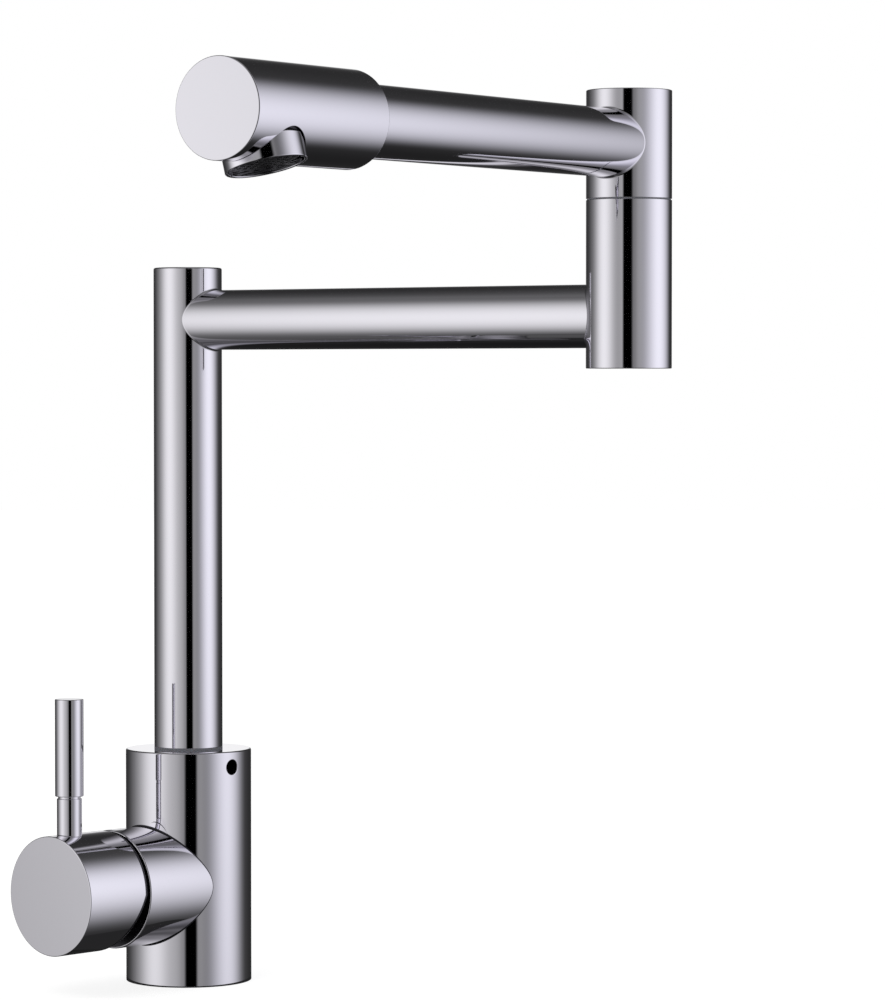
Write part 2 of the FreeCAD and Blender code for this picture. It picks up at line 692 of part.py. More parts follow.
def upper_arm():
    tube = pipe(UPPER, UPPER_R, UPPER_BORE_R, 0, TUBE_END)
    return tube.cut(rod(ELBOW, ELBOW_R, UPPER_POST_FOOT, ELBOW_TOP))


def head_seal_places():
    """Middles of the two O-rings that seal the head on its spigot."""
    first = CORE_REAR + ORING_PITCH
    return [first, first + ORING_PITCH]


def head_spigot():
    """Brass spigot brazed in the arm's end, on which the head turns."""
    plug = rod(UPPER, UPPER_BORE_R, TUBE_END - HEAD_SPIGOT_GRIP, TUBE_END)
    flange = rod(UPPER, UPPER_R, TUBE_END, TUBE_END + HEAD_SPIGOT_FLANGE)
    neck = rod(UPPER, HEAD_SPIGOT_R, TUBE_END, HEAD_SPIGOT_END)
    whole = joined(plug, flange, neck)
    width = 2 * (HEAD_SCREW_R + FREE)
    cuts = [rod(UPPER, HEAD_SPIGOT_BORE_R, TUBE_END - HEAD_SPIGOT_GRIP, HEAD_SPIGOT_END),
            groove(UPPER, HEAD_SPIGOT_R, HEAD_SPIGOT_R - HEAD_SCREW_REACH - FREE,
                   HEAD_SCREW_S, width)]
    for place in head_seal_places():
        cuts.append(groove(UPPER, HEAD_SPIGOT_R, HEAD_SPIGOT_R - ORING_T, place, ORING_T))
    return whole.cut(cuts)


def head_o_rings():
    return Part.makeCompound([
        o_ring(UPPER, HEAD_SPIGOT_R - ORING_T, HEAD_SPIGOT_R + RUN - SEAL_GAP, place)
        for place in head_seal_places()])


# ---------------------------------------------------------------- head
def head_shell():
    """Turned sleeve with a closed flat end and a clearance hole round the aerator."""
    shell = rod(UPPER, HEAD_R, HEAD_REAR, UPPER_REACH)
    shell = ease(shell, UPPER, HEAD_R, UPPER_REACH, EASE)
    shell = ease(shell, UPPER, HEAD_R, HEAD_REAR, EASE)
    cuts = [
        rod(UPPER, HEAD_BORE_R, HEAD_REAR, UPPER_REACH - HEAD_FACE_T),
        rod(OUTLET, AERATOR_R + AERATOR_HOLE_GAP, 0, HEAD_R + OVER),
    ]
    return shell.cut(cuts)


def head_rear_ring():
    """Ring that closes the sleeve's rear end round the arm."""
    return pipe(UPPER, HEAD_BORE_R, UPPER_R + RUN, HEAD_REAR, HEAD_REAR + HEAD_RING_T)


def head_screw_lines():
    """Radial lines of the two screws that keep the head on its spigot."""
    side = heading(UPPER_DIR + 90)
    return [(point(UPPER, HEAD_SCREW_S), side * sign) for sign in (-1, 1)]


def head_screws():
    return Part.makeCompound([
        rod(line, HEAD_SCREW_R, HEAD_SPIGOT_R - HEAD_SCREW_REACH, HEAD_BORE_R - FREE)
        for line in head_screw_lines()])


def head_core():
    """Brass core in the sleeve: bearing, waterway and the aerator's thread."""
    core = rod(UPPER, HEAD_BORE_R - RUN, CORE_REAR, CORE_END)
    cuts = [
        rod(UPPER, HEAD_SPIGOT_R + RUN, CORE_REAR, CORE_SHOULDER),
        rod(UPPER, HEAD_WATERWAY_R, CORE_SHOULDER, CORE_END - HEAD_CORE_WALL),
        rod(OUTLET, AERATOR_THREAD_R, 0, HEAD_R),
        rod(OUTLET, AERATOR_R + AERATOR_HOLE_GAP, AERATOR_SEAT, HEAD_R),
    ]
    return core.cut(cuts + [rod(line, HEAD_SCREW_R, 0, HEAD_R) for line in head_screw_lines()])


def aerator_washer():
    return pipe(OUTLET, AERATOR_R, AERATOR_THREAD_R, AERATOR_SEAT, AERATOR_SEAT + AERATOR_WASHER_T)


def aerator_cup():
    """Screwed cup under the head that holds the aerator's insert."""
    skirt = rod(OUTLET, AERATOR_R, SKIRT_TOP, AERATOR_END)
    skirt = ease(skirt, OUTLET, AERATOR_R, AERATOR_END, EASE)
    skirt = ease(skirt, OUTLET, AERATOR_R, SKIRT_TOP, EASE)
    thread = rod(OUTLET, AERATOR_THREAD_R, SKIRT_TOP - AERATOR_THREAD, INSERT_TOP)
    cuts = [
        rod(OUTLET, AERATOR_BORE_R, SKIRT_TOP - AERATOR_THREAD, INSERT_TOP),
        rod(OUTLET, AERATOR_INNER_R, INSERT_TOP, AERATOR_END),
    ]
    return joined(skirt, thread).cut(cuts)


def jet_places():
    """Centres of the jets: one in the middle and rings of six, twelve and so on."""
    across = heading(UPPER_DIR)
    along = OUTLET_AXIS.cross(across)
    places = [V(0, 0, 0)]
    for ring in range(1, JET_RINGS + 1):
        for i in range(6 * ring):
            angle = 2 * pi * i / (6 * ring)
            places.append((across * cos(angle) + along * sin(angle)) * (ring * JET_PITCH))
    return places


def aerator_insert():
    """Plastic insert, drilled with rings of jets."""
    end = AERATOR_END - AERATOR_RECESS
    insert = rod(OUTLET, AERATOR_INNER_R, INSERT_TOP, end)
    cuts = [Part.makeCylinder(JET_R, end - INSERT_TOP, point(OUTLET, INSERT_TOP) + place, OUTLET_AXIS)
            for place in jet_places()]
    return insert.cut(cuts)


# ---------------------------------------------------------------- all pieces
PIECES = [
    valve_body, lever_boss, base_gasket, mounting_shank, clamp_rubber, clamp_washer, lock_nut,
    column_set_screw, cartridge_base, port_seals, cartridge_housing, fixed_disc, collar_nut,
    moving_disc, disc_carrier, turning_guide, pivot_pin,
    lever_stem, handle_cap, grub_screw, lever_neck, lever_grip, lever_stud,
    column_tube, column_plug, column_spigot, column_o_rings, column_slip_ring,
    lower_arm, elbow_post, elbow_plug,
    elbow_spigot, elbow_o_rings, elbow_washer, elbow_clip, seam_washer,
    upper_post, upper_plug, upper_arm, head_spigot, head_o_rings,
    head_shell, head_rear_ring, head_core, head_screws,
    aerator_washer, aerator_cup, aerator_insert,
]

os.makedirs("parts", exist_ok=True)
for piece in PIECES:
    shape = piece()
    shape.exportStep("parts/" + piece.__name__ + ".step")
    print(piece.__name__, len(shape.Solids), "solid", round(shape.Volume, 1), "mm3", shape.isValid())
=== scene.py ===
"""Looks of a deck-mounted kitchen mixer tap with a folding spout.

The polished pieces that show and the threaded shank are drawn again as smooth surfaces round the
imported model, from sizes that are read off that model. The rest of it gets its materials only.
Lengths are in metres. Angles are in radians, but for the studio's, which are in degrees.
"""
import json
from math import degrees, pi, radians, tan

import bpy
import numpy as np
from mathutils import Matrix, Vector


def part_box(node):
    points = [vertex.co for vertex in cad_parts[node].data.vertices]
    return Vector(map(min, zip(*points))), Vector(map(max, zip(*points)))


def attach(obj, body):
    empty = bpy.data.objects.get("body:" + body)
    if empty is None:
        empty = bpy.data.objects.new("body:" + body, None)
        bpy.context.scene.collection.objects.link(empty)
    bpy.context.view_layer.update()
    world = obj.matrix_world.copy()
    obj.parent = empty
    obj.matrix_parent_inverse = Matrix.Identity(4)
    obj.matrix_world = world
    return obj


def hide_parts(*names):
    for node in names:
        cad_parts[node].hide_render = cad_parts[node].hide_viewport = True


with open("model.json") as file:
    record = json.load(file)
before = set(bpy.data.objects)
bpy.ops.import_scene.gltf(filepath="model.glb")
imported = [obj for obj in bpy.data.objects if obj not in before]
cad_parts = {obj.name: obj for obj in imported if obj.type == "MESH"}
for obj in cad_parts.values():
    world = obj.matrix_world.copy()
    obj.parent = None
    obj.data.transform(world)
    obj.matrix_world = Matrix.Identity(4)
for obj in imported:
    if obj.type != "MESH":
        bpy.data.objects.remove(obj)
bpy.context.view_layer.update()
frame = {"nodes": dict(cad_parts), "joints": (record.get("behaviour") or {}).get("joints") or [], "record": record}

MM = 0.001
MICRON = 1e-6

# ---------------------------------------------------------------- finishing sizes
ROUND_STEPS = 288          # facets round a turned piece
EASE_STEPS = 6             # facets across an eased rim or a fillet
ROWS = 20                  # rows of facets beside a hole in a round wall
RIM = 0.4 * MM             # eased rims of the polished pieces
COLUMN_RIM = 0.8 * MM
BODY_RIM = 0.8 * MM
BOSS_RIM = 0.6 * MM
CAP_REAR_RIM = 1.5 * MM
SEAM_RIM = 0.2 * MM
FINE_RIM = 0.15 * MM       # edges that are only deburred
BOSS_BEAD = 0.7 * MM       # dressed brazing fillets: boss to body,
ARM_BEAD = 0.9 * MM        # arms to posts,
NECK_BEAD = 0.35 * MM      # lever to cap
CAP_WALL = 3.0 * MM
CAP_FACE_WALL = 5.0 * MM
HUB_R, HUB_LENGTH = 8.5 * MM, 17.35 * MM
BUFFED_UNSHADED_FROM = 1.3          # where the cap's painted shade ends and its buffed chrome starts, in rear rims from its edge
LIFT = radians(20)         # slope of the cap's relieved rim
GRIP_GROOVE, GRIP_WAIST = 0.8 * MM, 4.5 * MM
GRUB_DEPTH = 3.0 * MM      # of its hole, past the screw's head
SOCKET_R, SOCKET_DEPTH = 12.55 * MM, 33.5 * MM
SOCKET_WALL = 0.5 * MM     # left between the socket and the set screw's hole
CHAMBER_R, CHAMBER_FLOOR = 18.0 * MM, 13.0 * MM
TUBE_WALL = 1.5 * MM
POST_WALL = 2.4 * MM
POST_BEARING_R, POST_BEARING = 12.05 * MM, 25.5 * MM
SPIGOT_IN_POST = 9.0 * MM
PLUG = 4.0 * MM
OUTLET_HOLE_R = 14.5 * MM
FACE_WALL = 2.5 * MM
CUP_THREAD, CUP_THREAD_R, CUP_BORE_R = 4.0 * MM, 10.5 * MM, 8.5 * MM
CLEARANCE = 0.05 * MM      # round the collar nut and the aerator insert
THREAD_PITCH, THREAD_DEPTH = 1.5 * MM, 0.9 * MM
THREAD_RUNOUT, THREAD_END = 2.0 * MM, 1.0 * MM     # its fade, and its end below the shank's top
THREAD_STEPS, THREAD_ROWS = 144, 8                 # facets round the shank, and along a turn
SHANK_BORE_R = 13.0 * MM
GASKET_GROOVE = (20.0 * MM, 23.0 * MM, 2.0 * MM)
# Round walls with a hole: where the rows of facets beside it start and end, and the half-angle
# that the hole's ring of facets takes.
BOSS_BAND, BOSS_WINDOW = (12.0 * MM, 72.0 * MM), radians(65)
SCREW_BAND, SCREW_WINDOW = (5.4 * MM, 0.9 * MM), radians(12.5)  # below the screw, below the top
OUTLET_BAND, OUTLET_WINDOW = 17.5 * MM, radians(80)             # to each side of the outlet
GRUB_BAND, GRUB_WINDOW = 4.5 * MM, radians(12.5)                # to each side of the screw


# ---------------------------------------------------------------- lines and sizes of the frame
def unit(v):
    """Vectors of length 1 in the same directions."""
    v = np.asarray(v, float)
    return v / np.linalg.norm(v, axis=-1, keepdims=True)


class Line:
    """An axis in space, with two directions across it: up at angle 0, side a quarter turn on."""

    def __init__(self, origin, along, up):
        self.origin = np.asarray(origin, float)
        self.along = unit(along)
        self.up = unit(up - np.dot(up, self.along) * self.along)
        self.side = np.cross(self.along, self.up)

    def out(self, angle):
        """Unit vectors pointing away from the axis at these angles."""
        angle = np.asarray(angle, float)[..., None]
        return np.cos(angle) * self.up + np.sin(angle) * self.side

    def at(self, s, r, angle):
        """Points at distance s along the axis and r from it, at these angles round it."""
        s, r = np.asarray(s, float)[..., None], np.asarray(r, float)[..., None]
        return self.origin + s * self.along + r * self.out(angle)

    def read(self, points):
        """Distance along the axis, distance from it and angle round it of some points."""
        d = np.asarray(points, float) - self.origin
        s, x, y = d @ self.along, d @ self.up, d @ self.side
        return s, np.hypot(x, y), np.arctan2(y, x)

    def across(self, v):
        """What is left of some vectors without their part along the axis."""
        return v - (v @ self.along)[..., None] * self.along


def joint(name):
    """Position and axis of a joint."""
    found = next(j for j in frame["joints"] if j["name"] == name)
    return np.array(found["pos_m"], float), np.array(found["axis"], float)


def middle(node):
    """Middle of a node's box."""
    low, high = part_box(node)
    return (np.array(low) + np.array(high)) / 2


def span(node, line):
    """Where a node starts and ends along a line, and how far it reaches from it."""
    mesh = frame["nodes"][node].data
    points = np.empty(3 * len(mesh.vertices), np.float32)
    mesh.vertices.foreach_get("co", points)
    s, r, _ = line.read(points.reshape(-1, 3))
    return s.min(), s.max(), r.max()


Z = np.array([0.0, 0.0, 1.0])
PIVOT_POINT, BOSS_DIRECTION = joint("mixing_turn")
HEAD_POINT, ARM_DIRECTION = joint("head_turn")
ELBOW_POINT = joint("elbow_swivel")[0] * (1, 1, 0)

COLUMN = Line((0, 0, 0), Z, BOSS_DIRECTION)
SCREW = Line((0, 0, middle("column_set_screw")[2]), middle("column_set_screw") * (1, 1, 0), Z)
BEHIND_SCREW = Line((0, 0, 0), Z, SCREW.along)
BOSS = Line((0, 0, PIVOT_POINT[2]), BOSS_DIRECTION, Z)
BELOW_CAP = Line(BOSS.origin, BOSS_DIRECTION, -Z)
GRUB = Line((middle("grub_screw")[0], 0, PIVOT_POINT[2]), -Z, BOSS_DIRECTION)
LEVER = Line((middle("lever_grip")[0], 0, 0), Z, BOSS_DIRECTION)
LOWER = Line((0, 0, middle("lower_arm")[2]), ELBOW_POINT, Z)
ELBOW = Line(ELBOW_POINT, Z, ARM_DIRECTION)
UPPER = Line(ELBOW_POINT + HEAD_POINT * (0, 0, 1), ARM_DIRECTION, Z)
CUP_MIDDLE = middle("aerator_cup")
OUTLET_S = UPPER.read(CUP_MIDDLE)[0]
OUTLET = Line(UPPER.at(OUTLET_S, 0, 0), UPPER.across(CUP_MIDDLE - UPPER.origin), ARM_DIRECTION)
HEAD = Line(UPPER.origin, ARM_DIRECTION, OUTLET.along)

_, BODY_TOP, BODY_R = span("valve_body", COLUMN)
_, BOSS_FACE, BOSS_R = span("lever_boss", BOSS)
_, CAP_FACE, CAP_R = span("handle_cap", BOSS)
PIVOT = BOSS.read(PIVOT_POINT)[0]
COLLAR_SEAT, _, COLLAR_R = span("collar_nut", BOSS)
_, _, SCREW_R = span("column_set_screw", SCREW)
_, GRUB_HEAD, GRUB_R = span("grub_screw", GRUB)
COLUMN_FOOT = span("column_slip_ring", COLUMN)[1]
_, COLUMN_TOP, COLUMN_R = span("column_tube", COLUMN)
LOWER_R = span("lower_arm", LOWER)[2]
ELBOW_BOTTOM, SEAM_LOW, ELBOW_R = span("elbow_post", ELBOW)
SEAM_HIGH, ELBOW_TOP, _ = span("upper_post", ELBOW)
_, ARM_END, UPPER_R = span("upper_arm", UPPER)
HEAD_REAR, FACE, HEAD_R = span("head_shell", UPPER)
CUP_FOOT, CUP_RIM, CUP_R = span("aerator_cup", OUTLET)
INSERT_FOOT, _, INSERT_R = span("aerator_insert", OUTLET)
GRIP_FOOT, GRIP_TOP, GRIP_R = span("lever_grip", LEVER)
NECK_R = span("lever_neck", LEVER)[2]
SHANK_FOOT, SHANK_TOP, SHANK_R = span("mounting_shank", COLUMN)

# ---------------------------------------------------------------- surfaces
# A surface is a pair of grids: its points, and the outward normals there.
ROUND = np.linspace(0, 2 * pi, ROUND_STEPS + 1)
STEP = ROUND[1]
SLOPE_STEP = 1e-4          # for the slopes of a formula, as a share of its range


def surface(formula, u, v, outward):
    """Grid of formula(u, v), with normals square to its slopes, turned to the outward side.

    outward(points) gives a rough direction away from the piece."""
    U, V = np.meshgrid(u, v, indexing="ij")
    du, dv = (SLOPE_STEP * (x[-1] - x[0]) for x in (u, v))
    points = formula(U, V)
    normals = unit(np.cross(formula(U + du, V) - formula(U - du, V),
                            formula(U, V + dv) - formula(U, V - dv)))
    side = np.sum(normals * outward(points), axis=-1, keepdims=True)
    return points, normals * np.where(side < 0, -1, 1)


def turned(line, *corners, angles=ROUND):
    """A profile turned round a line, from its corners (s, r, ease) in order.

    s is the distance along the line and r from it, and either may change with the angle. Walking
    the profile, with s to the right and r upwards, the metal is on the right. Each corner with
    an ease becomes an arc of that radius, touching both its sides. The normal is the cross
    product of the slope round the line and the slope along the profile."""
    points = [np.stack([x + 0 * angles for x in c[:2]], -1) for c in corners]
    eases = [c[2] if len(c) > 2 else 0 for c in corners]
    grids, leaving = [], points[0]
    for i in range(1, len(points)):
        arriving, arc = points[i], None
        if eases[i]:
            back, ahead = unit(leaving - points[i]), unit(points[i + 1] - points[i])
            half = np.arccos(np.sum(back * ahead, -1, keepdims=True)) / 2
            centre = points[i] + unit(back + ahead) * eases[i] / np.sin(half)
            arriving = points[i] + back * eases[i] / np.tan(half)
            first = np.arctan2(*(arriving - centre).T[::-1])
            last = np.arctan2(*(points[i] + ahead * eases[i] / np.tan(half) - centre).T[::-1])
            turn = (last - first + pi) % (2 * pi) - pi
            t = first[:, None] + turn[:, None] * np.linspace(0, 1, EASE_STEPS + 1)
            radial = np.stack([np.cos(t), np.sin(t)], -1)
            slope = np.stack([-np.sin(t), np.cos(t)], -1) * np.sign(turn)[:, None, None]
            arc = centre[:, None] + eases[i] * radial, slope
        if np.abs(arriving - leaving).max() > MICRON / 10:
            run = np.stack([leaving, arriving], 1)
            grids.append((run, np.repeat(unit(arriving - leaving)[:, None], 2, 1)))
        if arc:
            grids.append(arc)
        leaving = arc[0][:, -1] if arc else arriving
    surfaces = []
    for profile, slope in grids:
        s, r = profile[..., 0], profile[..., 1]
        places = line.at(s, r, angles[:, None])
        change = np.concatenate([profile[1:2] - profile[-2:-1], profile[2:] - profile[:-2],
                                 profile[1:2] - profile[-2:-1]]) / (2 * (angles[1] - angles[0]))
        away = line.out(angles)[:, None]
        around = (change[..., :1] * line.along + change[..., 1:] * away
                  + np.maximum(r, MICRON)[..., None] * np.cross(line.along, away))
        forward = slope[..., :1] * line.along + slope[..., 1:] * away
        surfaces.append((places, unit(np.cross(around, forward))))
    return surfaces


def meets(branch, r, angle, trunk, trunk_r, side=1):
    """How far along a branch of radius r each of its sides meets the round trunk of radius trunk_r.

    A point on the branch is trunk_r from the trunk's axis: a quadratic in the distance along it."""
    start = trunk.across(branch.at(0, r, angle) - trunk.origin)
    d = trunk.across(branch.along)
    b, dd = start @ d, d @ d
    apart = np.sum(start * start, -1) - trunk_r * trunk_r
    return (-b + side * np.sqrt(b * b - dd * apart)) / dd


def saddle(trunk, trunk_r, edge, inner, facing):
    """Part of a round trunk between two closed curves on it.

    Each row of facets goes straight from one curve to the other in angle and distance."""
    s0, _, a0 = trunk.read(edge)
    s1, _, a1 = trunk.read(inner)
    centre = trunk.read(np.mean(edge, 0))[2]
    a0, a1 = ((a - centre + pi) % (2 * pi) - pi + centre for a in (a0, a1))
    t = np.linspace(0, 1, EASE_STEPS + 1)
    a = a0[:, None] * (1 - t) + a1[:, None] * t
    s = s0[:, None] * (1 - t) + s1[:, None] * t
    return trunk.at(s, trunk_r, a), facing * trunk.out(a)


def weld(branch, r, trunk, trunk_r, bead, side=1):
    """Bead where a branch of radius r leaves a round trunk, as a ball of the bead's radius that
    is rolled along the joint shapes it.

    The ball's centre is its radius outside both, and the arc turns from the branch's side to
    the trunk's by great circle. Returns the surface, where the branch's plain wall starts, and
    the bead's edge on the trunk."""
    start = meets(branch, r + bead, ROUND, trunk, trunk_r + bead, side)
    centre = branch.at(start, r + bead, ROUND)[:, None]
    first = -branch.out(ROUND)[:, None]
    last = -unit(trunk.across(centre - trunk.origin))
    angle = np.arccos(np.clip(np.sum(first * last, -1, keepdims=True), -1, 1))
    t = np.linspace(0, 1, EASE_STEPS + 1)[None, :, None]
    turn = (np.sin((1 - t) * angle) * first + np.sin(t * angle) * last) / np.sin(angle)
    return (centre + bead * turn, -turn), start, (centre + bead * last)[:, 0]


def hole_angles(wall, r, s0, hole, count):
    """Angles round a hole, starting nearest the end s0 of the wall and going with its angle."""
    _, _, (first, beside) = hole.read(wall.at([s0, s0], r, [0, STEP]))
    turn = np.sign((beside - first + pi) % (2 * pi) - pi)
    return first + turn * np.linspace(0, 2 * pi, count + 1)


def pierced(wall, r, s0, s1, hole, hole_r, half, facing=1):
    """Round wall from s0 to s1 with a round hole of radius hole_r at angle 0.

    Away from the hole it has full rows of facets, and between a window of half-angle half and
    the hole's edge a ring of facets."""
    n = round(half / STEP)
    rows = np.linspace(s0, s1, ROWS + 1)
    away = np.arange(n, ROUND_STEPS - n + 1) * STEP
    S, A = np.meshgrid(rows, away)
    band = wall.at(S, r, A), facing * wall.out(A)
    up, down = np.arange(0, n), np.arange(n, -n, -1)
    a = np.concatenate([up, np.full(ROWS, n), down, np.full(ROWS, -n), np.arange(-n, 1)]) * STEP
    s = np.concatenate([np.full(n, s0), rows[:-1], np.full(2 * n, s1), rows[:0:-1],
                        np.full(n + 1, s0)])
    around = hole_angles(wall, r, s0, hole, len(a) - 1)
    edge = hole.at(meets(hole, hole_r, around, wall, r), hole_r, around)
    return [band, saddle(wall, r, wall.at(s, r, a), edge, facing)]


def drilled(wall, r, s0, s1, hole, hole_r, half, lip, floor=None, inner=None):
    """Pierced wall with the hole's eased mouth and its side, down to a flat floor or to the
    inner wall where it comes out."""
    def mouth(A, T):
        """A quarter round of radius lip: on the wall at T = 0, on the side at a quarter turn."""
        wide = hole_r + lip * (1 - np.sin(T))
        return hole.at(meets(hole, wide, A, wall, r) - lip * (1 - np.cos(T)), wide, A)

    surfaces = pierced(wall, r, s0, s1, hole, hole_r + lip, half)
    angles = hole_angles(wall, r, s0, hole, 4 * round(half / STEP) + 2 * ROWS)
    if lip:
        turn = np.linspace(0, pi / 2, EASE_STEPS + 1)
        # Outward there is mostly out along the hole, and partly towards the hole's axis.
        surfaces.append(surface(mouth, angles, turn, lambda points: 3 * hole_r * hole.along
                                - hole.across(points - hole.origin)))
    top = meets(hole, hole_r, angles, wall, r) - lip
    if floor is None:
        bottom = meets(hole, hole_r, angles, wall, inner)
        return surfaces + turned(hole, (top, hole_r), (bottom, hole_r), angles=angles)
    return surfaces + turned(hole, (top, hole_r), (floor, hole_r), (floor, 0), angles=angles)


def piece(name, body, slot, materials, surfaces, *nodes, dull_shaded=()):
    """Joins surfaces into one mesh, in which the ones given as shaded get the second material, the dark chrome
    that is painted shade.

    Points nearer than a micron become one, facets are turned to agree with their normals, and
    every facet's corners keep the surface's own normals."""
    bright = sum((p.shape[0] - 1) * (p.shape[1] - 1) for p, _ in surfaces)
    surfaces = [*surfaces, *dull_shaded]
    points = np.concatenate([p.reshape(-1, 3) for p, _ in surfaces])
    normals = np.concatenate([n.reshape(-1, 3) for _, n in surfaces])
    corners, first = [], 0
    for grid, _ in surfaces:
        index = first + np.arange(grid.shape[0] * grid.shape[1]).reshape(grid.shape[:2])
        corners.append(np.stack([index[:-1, :-1], index[1:, :-1], index[1:, 1:],
                                 index[:-1, 1:]], -1).reshape(-1, 4))
        first += grid.shape[0] * grid.shape[1]
    quads = np.concatenate(corners)
    spots = points.copy()
    for shift in (0.0, 0.5, 0.27):      # rounded thrice, so that no pair stays parted by a step
        _, pick, same = np.unique(np.round(spots / MICRON + shift).astype(np.int64), axis=0,
                                  return_index=True, return_inverse=True)
        spots = spots[pick[same.reshape(-1)]]
    _, pick, same = np.unique(spots, axis=0, return_index=True, return_inverse=True)
    same = same.reshape(-1)
    facing = np.cross(points[quads[:, 2]] - points[quads[:, 0]],
                      points[quads[:, 3]] - points[quads[:, 1]])
    wrong = np.sum(facing * normals[quads].sum(1), -1) < 0
    quads[wrong] = quads[wrong, ::-1]
    # A corner goes that has met the one before or, in a quad's second half, the one across.
    merged = same[quads]
    keep = merged != np.roll(merged, 1, axis=1)
    keep &= ~((merged == np.roll(merged, 2, axis=1)) & (np.arange(4) > 1))
    sides = keep.sum(1)
    keep &= (sides > 2)[:, None]
    # Facets of the shaded surfaces get the second material, which is painted shade.
    dull_shaded_faces = (np.arange(len(sides)) >= bright)[sides > 2]
    sides = sides[sides > 2]
    mesh = bpy.data.meshes.new(name)
    mesh.vertices.add(len(pick))
    mesh.vertices.foreach_set("co", spots[pick].astype(np.float32).ravel())
    mesh.loops.add(int(keep.sum()))
    mesh.loops.foreach_set("vertex_index", merged[keep].astype(np.int32))
    mesh.polygons.add(len(sides))
    mesh.polygons.foreach_set("loop_start", (np.cumsum(sides) - sides).astype(np.int32))
    mesh.polygons.foreach_set("material_index", dull_shaded_faces.astype(np.int32))
    mesh.update(calc_edges=True)
    mesh.shade_smooth()
    mesh.normals_split_custom_set(normals[quads[keep]].tolist())
    for one in materials[:1 + bool(dull_shaded)]:
        mesh.materials.append(one)
    made = bpy.data.objects.new(name, mesh)
    bpy.context.scene.collection.objects.link(made)
    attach(made, body)
    if nodes:
        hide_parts(*nodes)


# ---------------------------------------------------------------- materials
def linear(colour):
    """Linear RGBA from an sRGB hex colour: a straight line near black, then a power of 2.4."""
    value = np.array([int(colour[i:i + 2], 16) for i in (1, 3, 5)]) / 255
    value = np.where(value <= 0.04045, value / 12.92, ((value + 0.055) / 1.055) ** 2.4)
    return (*value.tolist(), 1.0)


def add(tree, kind, inputs=(), **settings):
    """Adds a node. For each socket's name or number, inputs holds a value, output or node."""
    made = tree.nodes.new(kind)
    for name, value in settings.items():
        setattr(made, name, value)
    for name, value in inputs.items() if isinstance(inputs, dict) else enumerate(inputs):
        if isinstance(value, bpy.types.Node):
            value = value.outputs[0]
        if isinstance(value, bpy.types.NodeSocket):
            tree.links.new(value, made.inputs[name])
        else:
            made.inputs[name].default_value = value
    return made


def material(name, colour, metallic, roughness, patch, grain, depth, slot=None, **sockets):
    """Principled material whose roughness drifts between two values over patches of a real size,
    with a bump of grains of a real size and depth. The slot that it is for is its name, unless
    that is given.

    Returns its tree and shader, the place that the noises read, the drift and the bump."""
    made = bpy.data.materials.new(name)
    made.use_nodes = True
    tree = made.node_tree
    shader = tree.nodes["Principled BSDF"]
    shader.inputs["Base Color"].default_value = linear(colour)
    shader.inputs["Metallic"].default_value = metallic
    for socket, value in sockets.items():
        shader.inputs[socket.replace("_", " ")].default_value = value
    place = add(tree, "ShaderNodeTexCoord").outputs["Object"]
    drift = add(tree, "ShaderNodeTexNoise", {"Vector": place, "Scale": 1 / patch, "Detail": 3.0})
    rough = add(tree, "ShaderNodeMapRange", {
        "Value": drift, "From Min": NOISE_RANGE[0], "From Max": NOISE_RANGE[1],
        "To Min": roughness[0], "To Max": roughness[1]})
    tree.links.new(rough.outputs[0], shader.inputs["Roughness"])
    grains = add(tree, "ShaderNodeTexNoise", {"Vector": place, "Scale": 1 / grain,
                                              "Detail": 2.0})
    bump = add(tree, "ShaderNodeBump", {"Height": grains, "Distance": depth, "Strength": 1.0})
    tree.links.new(bump.outputs[0], shader.inputs["Normal"])
    FINISH[slot or name] = made
    return tree, shader, place, drift, bump


NOISE_RANGE = (0.3, 0.7)   # where most of a noise's values lie
FINISH = {}                # slot or finish to material
# Bright chrome plate on buffed brass: a near-mirror, faintly violet, with the lightest haze
# where it has been wiped and a slow ripple left by the buffing wheel.
material("polished_chrome", "#F3F1F8", metallic=1.0, roughness=(0.025, 0.05), patch=35 * MM,
         grain=18 * MM, depth=0.0015 * MM)
# The same plate in holes, joints and insides that the buffing wheel doesn't reach: thin and rough. Its dark colour
# there is painted shade.
material("unbuffed_shaded_chrome", "#4C4B50", metallic=1.0, roughness=(0.28, 0.42), patch=8 * MM,
         grain=0.4 * MM, depth=0.01 * MM)
# Alloy steel screws, hardened and blackened in hot oxide: black with an oily satin.
material("black_oxide_steel", "#1C1C1E", metallic=1.0, roughness=(0.3, 0.4), patch=5 * MM,
         grain=0.3 * MM, depth=0.005 * MM)
# Brass turned from bar: warm and satiny, with the tool's rings. The rings are 0.5 mm apart,
# coarser than the real 0.1 mm, so that they show.
RING_SPACING, WAVE_SPACING = 0.5 * MM, 0.31        # of the tool's rings, of a wave at scale 1
tree, shader, place, _, bump = material(
    "turned_brass", "#D8B165", metallic=1.0, roughness=(0.2, 0.36), patch=9 * MM,
    grain=0.5 * MM, depth=0.01 * MM)
rings = add(tree, "ShaderNodeTexWave", {"Vector": place, "Scale": WAVE_SPACING / RING_SPACING,
                                        "Distortion": 0.6}, bands_direction="Z")
tool = add(tree, "ShaderNodeBump", {"Height": rings, "Distance": 0.006 * MM, "Normal": bump})
tree.links.new(tool.outputs[0], shader.inputs["Normal"])
# Stainless steel, pressed and tumbled: grey, soft highlights, fine scratches every way.
material("stainless_steel", "#BDBBB6", metallic=1.0, roughness=(0.22, 0.38), patch=6 * MM,
         grain=0.35 * MM, depth=0.012 * MM)
# Moulded EPDM rubber: almost black, matt, with a dusty bloom that lightens it in patches.
tree, shader, _, drift, _ = material(
    "black_rubber", "#1B1B1C", metallic=0.0, roughness=(0.55, 0.75), patch=7 * MM,
    grain=0.4 * MM, depth=0.03 * MM, Specular_IOR_Level=0.35)
bloom = add(tree, "ShaderNodeValToRGB", [drift])
bloom.color_ramp.elements[0].color = linear("#161617")
bloom.color_ramp.elements[1].color = linear("#2B2B2C")
tree.links.new(bloom.outputs[0], shader.inputs["Base Color"])
